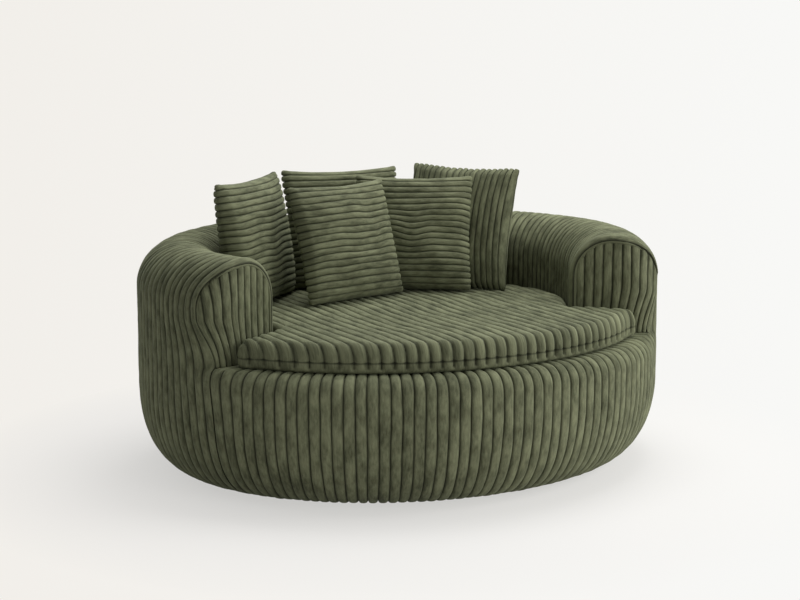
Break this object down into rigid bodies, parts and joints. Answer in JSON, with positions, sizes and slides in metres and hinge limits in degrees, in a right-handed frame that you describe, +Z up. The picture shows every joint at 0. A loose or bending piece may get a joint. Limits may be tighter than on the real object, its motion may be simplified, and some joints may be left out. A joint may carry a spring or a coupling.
{
  "type": "upholstered cuddle chair",
  "caption": "Oval cuddle chair: ribbed corduroy tub with one wall for arms and back, a loose seat pad and loose pillows.",
  "frame": {"origin": "on the floor under the middle of the oval plan", "axes": "+Z up, the open front faces -Y, +X to the right seen from the front"},
  "size_m": [1.4998, 1.2699, 0.8072],
  "materials": {
    "corduroy": "jumbo corduroy, matte with a soft sheen",
    "foam": "open-cell foam",
    "plywood": "raw plywood",
    "webbing": "woven elastic",
    "lining": "non-woven lining",
    "glide": "moulded plastic",
    "zip": "nylon zip on woven tape"
  },
  "bodies": {
    "chair": {"arm_end_former_left": "plywood", "arm_end_former_right": "plywood", "arm_front_cover_left": "corduroy", "arm_front_cover_right": "corduroy", "arm_front_foam_left": "foam", "arm_front_foam_right": "foam", "base_band": "plywood", "base_front_cover": "corduroy", "base_front_foam": "foam", "base_panel": "plywood", "deck_cloth": "lining", "deck_foam": "foam", "deck_ring": "plywood", "dust_cover": "lining", "front_former_1": "plywood", "front_former_2": "plywood", "front_former_3": "plywood", "glide_back_left": "glide", "glide_back_middle": "glide", "glide_back_right": "glide", "glide_front_left": "glide", "glide_front_middle": "glide", "glide_front_right": "glide", "inner_band": "plywood", "outer_band": "plywood", "wall_cover": "corduroy", "wall_foam_back": "foam", "wall_foam_left": "foam", "wall_foam_right": "foam", "wall_former_1": "plywood", "wall_former_2": "plywood", "wall_former_3": "plywood", "wall_former_4": "plywood", "wall_former_5": "plywood", "webbing_cross_1": "webbing", "webbing_cross_2": "webbing", "webbing_cross_3": "webbing", "webbing_cross_4": "webbing", "webbing_long_1": "webbing", "webbing_long_2": "webbing", "webbing_long_3": "webbing"},
    "seat_cushion": {"seat_pad_cover": "corduroy", "seat_pad_foam": "foam", "seat_pad_zip": "zip"},
    "zip_slider": {"seat_pad_zip_slider": "zip"},
    "pillow_back_right": {"pillow_back_right_cover": "corduroy", "pillow_back_right_fill": "foam", "pillow_back_right_zip": "zip"},
    "pillow_back_left": {"pillow_back_left_cover": "corduroy", "pillow_back_left_fill": "foam", "pillow_back_left_zip": "zip"},
    "pillow_centre": {"pillow_centre_cover": "corduroy", "pillow_centre_fill": "foam", "pillow_centre_zip": "zip"},
    "pillow_front": {"pillow_front_cover": "corduroy", "pillow_front_fill": "foam", "pillow_front_zip": "zip"},
    "pillow_far_left": {"pillow_far_left_cover": "corduroy", "pillow_far_left_fill": "foam", "pillow_far_left_zip": "zip"}
  },
  "joints": [
    {"name": "seat_cushion_lift", "type": "slide", "parent": "chair", "child": "seat_cushion", "axis": [0, 0, 1], "range_m": [0, 0.3]},
    {"name": "zip_slide", "type": "slide", "parent": "seat_cushion", "child": "zip_slider", "axis": [1, 0, 0], "range_m": [0, 0.545]},
    {"name": "pillow_back_right_lift", "type": "slide", "parent": "seat_cushion", "child": "pillow_back_right", "axis": [0, 0, 1], "range_m": [0, 0.35]},
    {"name": "pillow_back_left_lift", "type": "slide", "parent": "pillow_back_right", "child": "pillow_back_left", "axis": [0, 0, 1], "range_m": [0, 0.35]},
    {"name": "pillow_centre_lift", "type": "slide", "parent": "pillow_back_left", "child": "pillow_centre", "axis": [0, 0, 1], "range_m": [0, 0.35]},
    {"name": "pillow_front_lift", "type": "slide", "parent": "pillow_centre", "child": "pillow_front", "axis": [0, 0, 1], "range_m": [0, 0.35]},
    {"name": "pillow_far_left_lift", "type": "slide", "parent": "pillow_back_left", "child": "pillow_far_left", "axis": [0, 0, 1], "range_m": [0, 0.35]}
  ]
}
